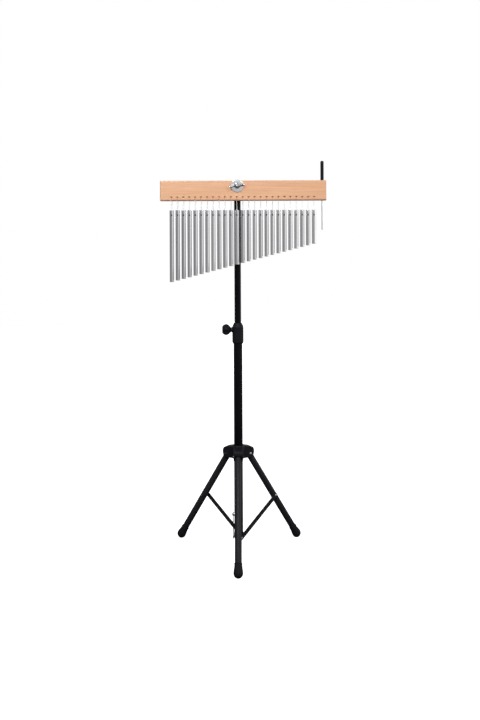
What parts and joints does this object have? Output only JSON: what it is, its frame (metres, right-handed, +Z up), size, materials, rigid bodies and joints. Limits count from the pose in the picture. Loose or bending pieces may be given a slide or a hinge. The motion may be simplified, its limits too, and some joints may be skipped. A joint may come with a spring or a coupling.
{
  "type": "bar chime on stand",
  "caption": "Set of graded metal chime bars hung on cords from a wooden beam, with a striker, on a height-adjustable folding tripod stand.",
  "frame": {"origin": "on the mast's axis at floor level", "axes": "+X to the player's right, towards the short bars; +Y away from the player; +Z up"},
  "size_m": [0.476, 0.3252, 1.1235],
  "materials": {
    "black_paint": "semi-gloss",
    "black_plastic": "fine satin",
    "rubber": "matt",
    "steel": "bright zinc",
    "chrome": "polished",
    "aluminium": "fine satin",
    "beech": "clear satin lacquer"
  },
  "bodies": {
    "mast_base": {"lower_tube": "black_paint", "clamp_collar": "black_plastic", "lower_collar": "black_plastic", "collar_pin_front": "steel", "collar_pin_left": "steel", "collar_pin_right": "steel"},
    "height_slider": {"slide_bush": "black_plastic"},
    "upper_mast": {"upper_tube": "black_paint", "head_block": "black_plastic", "beam_stud": "steel", "back_washer": "rubber"},
    "chime_beam": {"beam": "beech", "front_washer": "chrome"},
    "wing_nut": {"wing_nut": "chrome"},
    "height_knob": {"clamp_knob": "black_plastic", "clamp_screw": "steel"},
    "brace_front": {"brace_front": "black_paint"},
    "leg_front": {"leg_front": "black_paint", "foot_front": "rubber", "leg_pin_front": "steel"},
    "brace_left": {"brace_left": "black_paint"},
    "leg_left": {"leg_left": "black_paint", "foot_left": "rubber", "leg_pin_left": "steel"},
    "brace_right": {"brace_right": "black_paint"},
    "leg_right": {"leg_right": "black_paint", "foot_right": "rubber", "leg_pin_right": "steel"},
    "hub": {"tripod_hub": "black_plastic", "hub_pin_front": "steel", "hub_pin_left": "steel", "hub_pin_right": "steel"},
    "hub_knob": {"hub_knob": "black_plastic"},
    "striker": {"striker_rod": "steel", "striker_grip": "black_plastic"},
    "bar_01": {"bar_01": "aluminium"},
    "bar_02": {"bar_02": "aluminium"},
    "bar_03": {"bar_03": "aluminium"},
    "bar_04": {"bar_04": "aluminium"},
    "bar_05": {"bar_05": "aluminium"},
    "bar_06": {"bar_06": "aluminium"},
    "bar_07": {"bar_07": "aluminium"},
    "bar_08": {"bar_08": "aluminium"},
    "bar_09": {"bar_09": "aluminium"},
    "bar_10": {"bar_10": "aluminium"},
    "bar_11": {"bar_11": "aluminium"},
    "bar_12": {"bar_12": "aluminium"},
    "bar_13": {"bar_13": "aluminium"},
    "bar_14": {"bar_14": "aluminium"},
    "bar_15": {"bar_15": "aluminium"},
    "bar_16": {"bar_16": "aluminium"},
    "bar_17": {"bar_17": "aluminium"},
    "bar_18": {"bar_18": "aluminium"},
    "bar_19": {"bar_19": "aluminium"},
    "bar_20": {"bar_20": "aluminium"},
    "bar_21": {"bar_21": "aluminium"},
    "bar_22": {"bar_22": "aluminium"},
    "bar_23": {"bar_23": "aluminium"},
    "bar_24": {"bar_24": "aluminium"},
    "bar_25": {"bar_25": "aluminium"}
  },
  "joints": [
    {"name": "height_slide", "type": "slide", "parent": "mast_base", "child": "height_slider", "axis": [0, 0, 1], "range_m": [-0.33, 0.14]},
    {"name": "head_swivel", "type": "hinge", "parent": "height_slider", "child": "upper_mast", "pos_m": [0, 0, 0.45], "axis": [0, 0, 1], "continuous": true},
    {"name": "beam_tilt", "type": "hinge", "parent": "upper_mast", "child": "chime_beam", "pos_m": [0, -0.0253, 1.0523], "axis": [0, 1, 0], "range_deg": [-3, 3]},
    {"name": "wing_nut_turn", "type": "hinge", "parent": "upper_mast", "child": "wing_nut", "pos_m": [0, -0.045, 1.0523], "axis": [0, 1, 0], "continuous": true},
    {"name": "height_knob_turn", "type": "hinge", "parent": "mast_base", "child": "height_knob", "pos_m": [-0.03, 0, 0.637], "axis": [1, 0, 0], "continuous": true},
    {"name": "brace_front_fold", "type": "hinge", "parent": "mast_base", "child": "brace_front", "pos_m": [-0.0145, 0, 0.037], "axis": [-1, 0, 0], "range_deg": [0, 31]},
    {"name": "brace_left_fold", "type": "hinge", "parent": "mast_base", "child": "brace_left", "pos_m": [0.00725, 0.01256, 0.037], "axis": [0.5, 0.866, 0], "range_deg": [0, 31]},
    {"name": "brace_right_fold", "type": "hinge", "parent": "mast_base", "child": "brace_right", "pos_m": [0.00725, -0.01256, 0.037], "axis": [0.5, -0.866, 0], "range_deg": [0, 31]},
    {"name": "leg_front_fold", "type": "hinge", "parent": "brace_front", "child": "leg_front", "pos_m": [0, -0.11773, 0.14246], "axis": [-1, 0, 0], "range_deg": [-58, 0]},
    {"name": "leg_left_fold", "type": "hinge", "parent": "brace_left", "child": "leg_left", "pos_m": [-0.10195, 0.05886, 0.14246], "axis": [0.5, 0.866, 0], "range_deg": [-58, 0]},
    {"name": "leg_right_fold", "type": "hinge", "parent": "brace_right", "child": "leg_right", "pos_m": [0.10195, 0.05886, 0.14246], "axis": [0.5, -0.866, 0], "range_deg": [-58, 0]},
    {"name": "hub_fold", "type": "hinge", "parent": "leg_front", "child": "hub", "pos_m": [0, -0.033, 0.277], "axis": [-1, 0, 0], "range_deg": [0, 27]},
    {"name": "hub_knob_turn", "type": "hinge", "parent": "hub", "child": "hub_knob", "pos_m": [0, 0.03, 0.293], "axis": [0, 1, 0], "continuous": true},
    {"name": "striker_lift", "type": "slide", "parent": "chime_beam", "child": "striker", "axis": [0, 0, 1], "range_m": [0, 0.14]},
    {"name": "bar_01_swing", "type": "hinge", "parent": "chime_beam", "child": "bar_01", "pos_m": [-0.1881, -0.0253, 1.0095], "axis": [1, 0, 0], "range_deg": [-20, 20]},
    {"name": "bar_02_swing", "type": "hinge", "parent": "chime_beam", "child": "bar_02", "pos_m": [-0.1711, -0.0253, 1.0095], "axis": [1, 0, 0], "range_deg": [-20, 20]},
    {"name": "bar_03_swing", "type": "hinge", "parent": "chime_beam", "child": "bar_03", "pos_m": [-0.1541, -0.0253, 1.0095], "axis": [1, 0, 0], "range_deg": [-20, 20]},
    {"name": "bar_04_swing", "type": "hinge", "parent": "chime_beam", "child": "bar_04", "pos_m": [-0.1371, -0.0253, 1.0095], "axis": [1, 0, 0], "range_deg": [-20, 20]},
    {"name": "bar_05_swing", "type": "hinge", "parent": "chime_beam", "child": "bar_05", "pos_m": [-0.1201, -0.0253, 1.0095], "axis": [1, 0, 0], "range_deg": [-20, 20]},
    {"name": "bar_06_swing", "type": "hinge", "parent": "chime_beam", "child": "bar_06", "pos_m": [-0.1031, -0.0253, 1.0095], "axis": [1, 0, 0], "range_deg": [-20, 20]},
    {"name": "bar_07_swing", "type": "hinge", "parent": "chime_beam", "child": "bar_07", "pos_m": [-0.0861, -0.0253, 1.0095], "axis": [1, 0, 0], "range_deg": [-20, 20]},
    {"name": "bar_08_swing", "type": "hinge", "parent": "chime_beam", "child": "bar_08", "pos_m": [-0.0691, -0.0253, 1.0095], "axis": [1, 0, 0], "range_deg": [-20, 20]},
    {"name": "bar_09_swing", "type": "hinge", "parent": "chime_beam", "child": "bar_09", "pos_m": [-0.0521, -0.0253, 1.0095], "axis": [1, 0, 0], "range_deg": [-20, 20]},
    {"name": "bar_10_swing", "type": "hinge", "parent": "chime_beam", "child": "bar_10", "pos_m": [-0.0351, -0.0253, 1.0095], "axis": [1, 0, 0], "range_deg": [-20, 20]},
    {"name": "bar_11_swing", "type": "hinge", "parent": "chime_beam", "child": "bar_11", "pos_m": [-0.0181, -0.0253, 1.0095], "axis": [1, 0, 0], "range_deg": [-20, 2.5]},
    {"name": "bar_12_swing", "type": "hinge", "parent": "chime_beam", "child": "bar_12", "pos_m": [-0.0011, -0.0253, 1.0095], "axis": [1, 0, 0], "range_deg": [-20, 2.5]},
    {"name": "bar_13_swing", "type": "hinge", "parent": "chime_beam", "child": "bar_13", "pos_m": [0.0159, -0.0253, 1.0095], "axis": [1, 0, 0], "range_deg": [-20, 2.5]},
    {"name": "bar_14_swing", "type": "hinge", "parent": "chime_beam", "child": "bar_14", "pos_m": [0.0329, -0.0253, 1.0095], "axis": [1, 0, 0], "range_deg": [-20, 20]},
    {"name": "bar_15_swing", "type": "hinge", "parent": "chime_beam", "child": "bar_15", "pos_m": [0.0499, -0.0253, 1.0095], "axis": [1, 0, 0], "range_deg": [-20, 20]},
    {"name": "bar_16_swing", "type": "hinge", "parent": "chime_beam", "child": "bar_16", "pos_m": [0.0669, -0.0253, 1.0095], "axis": [1, 0, 0], "range_deg": [-20, 20]},
    {"name": "bar_17_swing", "type": "hinge", "parent": "chime_beam", "child": "bar_17", "pos_m": [0.0839, -0.0253, 1.0095], "axis": [1, 0, 0], "range_deg": [-20, 20]},
    {"name": "bar_18_swing", "type": "hinge", "parent": "chime_beam", "child": "bar_18", "pos_m": [0.1009, -0.0253, 1.0095], "axis": [1, 0, 0], "range_deg": [-20, 20]},
    {"name": "bar_19_swing", "type": "hinge", "parent": "chime_beam", "child": "bar_19", "pos_m": [0.1179, -0.0253, 1.0095], "axis": [1, 0, 0], "range_deg": [-20, 20]},
    {"name": "bar_20_swing", "type": "hinge", "parent": "chime_beam", "child": "bar_20", "pos_m": [0.1349, -0.0253, 1.0095], "axis": [1, 0, 0], "range_deg": [-20, 20]},
    {"name": "bar_21_swing", "type": "hinge", "parent": "chime_beam", "child": "bar_21", "pos_m": [0.1519, -0.0253, 1.0095], "axis": [1, 0, 0], "range_deg": [-20, 20]},
    {"name": "bar_22_swing", "type": "hinge", "parent": "chime_beam", "child": "bar_22", "pos_m": [0.1689, -0.0253, 1.0095], "axis": [1, 0, 0], "range_deg": [-20, 20]},
    {"name": "bar_23_swing", "type": "hinge", "parent": "chime_beam", "child": "bar_23", "pos_m": [0.1859, -0.0253, 1.0095], "axis": [1, 0, 0], "range_deg": [-20, 20]},
    {"name": "bar_24_swing", "type": "hinge", "parent": "chime_beam", "child": "bar_24", "pos_m": [0.2029, -0.0253, 1.0095], "axis": [1, 0, 0], "range_deg": [-20, 20]},
    {"name": "bar_25_swing", "type": "hinge", "parent": "chime_beam", "child": "bar_25", "pos_m": [0.2199, -0.0253, 1.0095], "axis": [1, 0, 0], "range_deg": [-20, 20]}
  ],
  "couplings": [
    {"joint": "brace_left_fold", "follows": "brace_front_fold", "ratio": 1},
    {"joint": "brace_right_fold", "follows": "brace_front_fold", "ratio": 1},
    {"joint": "leg_front_fold", "follows": "brace_front_fold", "ratio": -1.867},
    {"joint": "leg_left_fold", "follows": "brace_front_fold", "ratio": -1.867},
    {"joint": "leg_right_fold", "follows": "brace_front_fold", "ratio": -1.867},
    {"joint": "hub_fold", "follows": "brace_front_fold", "ratio": 0.867}
  ]
}
